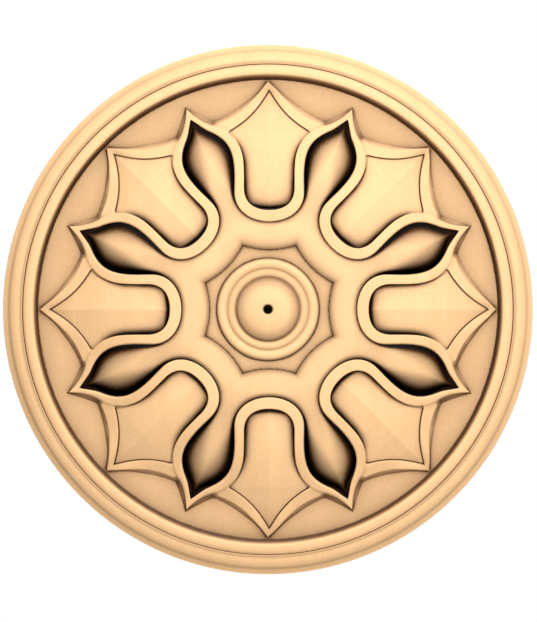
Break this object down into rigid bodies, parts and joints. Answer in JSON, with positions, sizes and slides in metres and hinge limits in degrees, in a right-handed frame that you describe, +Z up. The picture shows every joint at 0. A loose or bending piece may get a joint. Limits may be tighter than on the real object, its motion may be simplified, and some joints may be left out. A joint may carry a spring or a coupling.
{
  "type": "sunburst medallion",
  "caption": "Round carved wood rosette with a moulded rim, pointed petals outlined by a looping ribbon and a ringed centre boss, made to be fixed flat on a surface.",
  "frame": {"origin": "centre of the flat back, where the medallion is fixed", "axes": "back on the plane y = 0, carved face towards -Y, +Z up along one back petal, +X to the right seen from the front"},
  "size_m": [0.4, 0.0412, 0.4],
  "materials": {
    "pale_wood": "finely sanded pale wood, matt, no varnish"
  },
  "bodies": {
    "root": {"carved_medallion": "pale_wood"}
  },
  "joints": []
}
